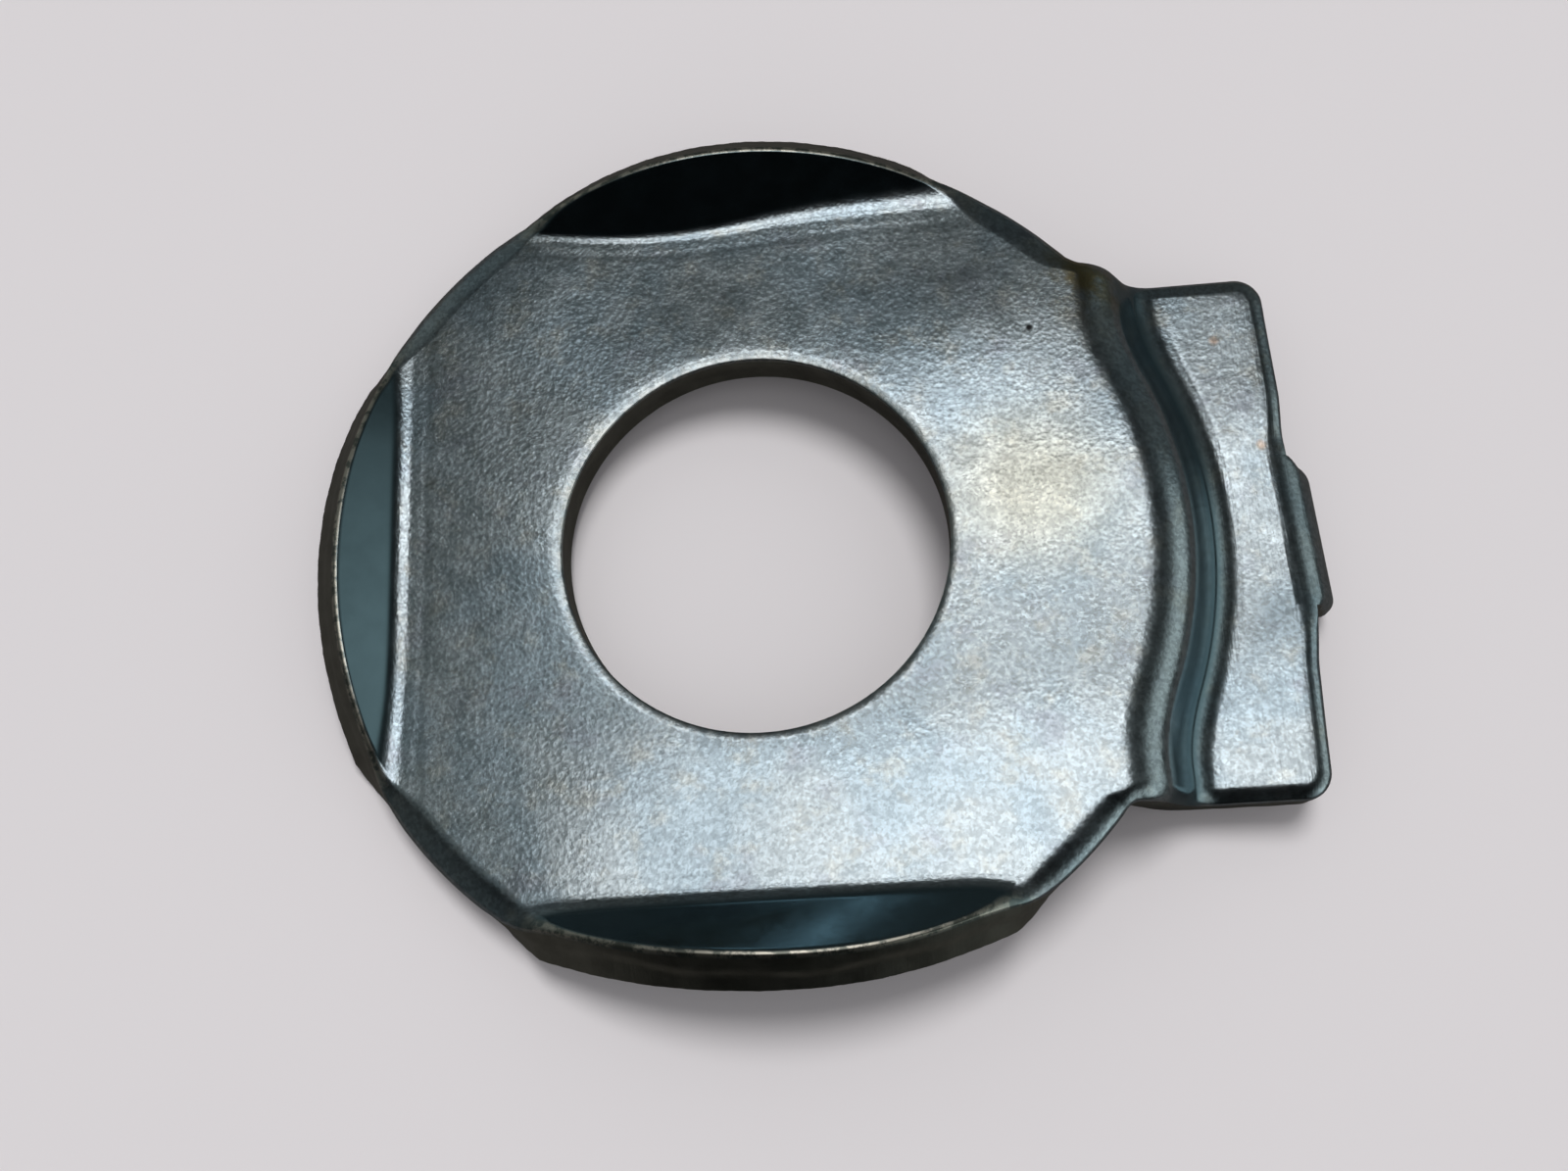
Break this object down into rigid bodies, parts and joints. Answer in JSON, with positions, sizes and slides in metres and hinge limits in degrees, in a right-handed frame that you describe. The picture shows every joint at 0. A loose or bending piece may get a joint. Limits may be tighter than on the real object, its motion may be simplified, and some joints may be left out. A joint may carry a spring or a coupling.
{
  "type": "stamped retaining plate",
  "caption": "Pressed round plate with a large centre hole, upturned rim segments and a stepped-down tab that ends in a small bent tooth.",
  "frame": {"origin": "bottom centre of the plate's bounding box, level with the tip of the tooth", "axes": "+Z along the axis of the centre hole, out of the face that the rim segments rise from; +X from the hole towards the stepped tab"},
  "size_m": [0.0658, 0.0568, 0.0123],
  "materials": {
    "zinc_plated_steel": "dull blue-white zinc plating, finely pebbled, over pressed steel sheet"
  },
  "bodies": {
    "root": {"pressed_plate": "zinc_plated_steel"}
  },
  "joints": []
}
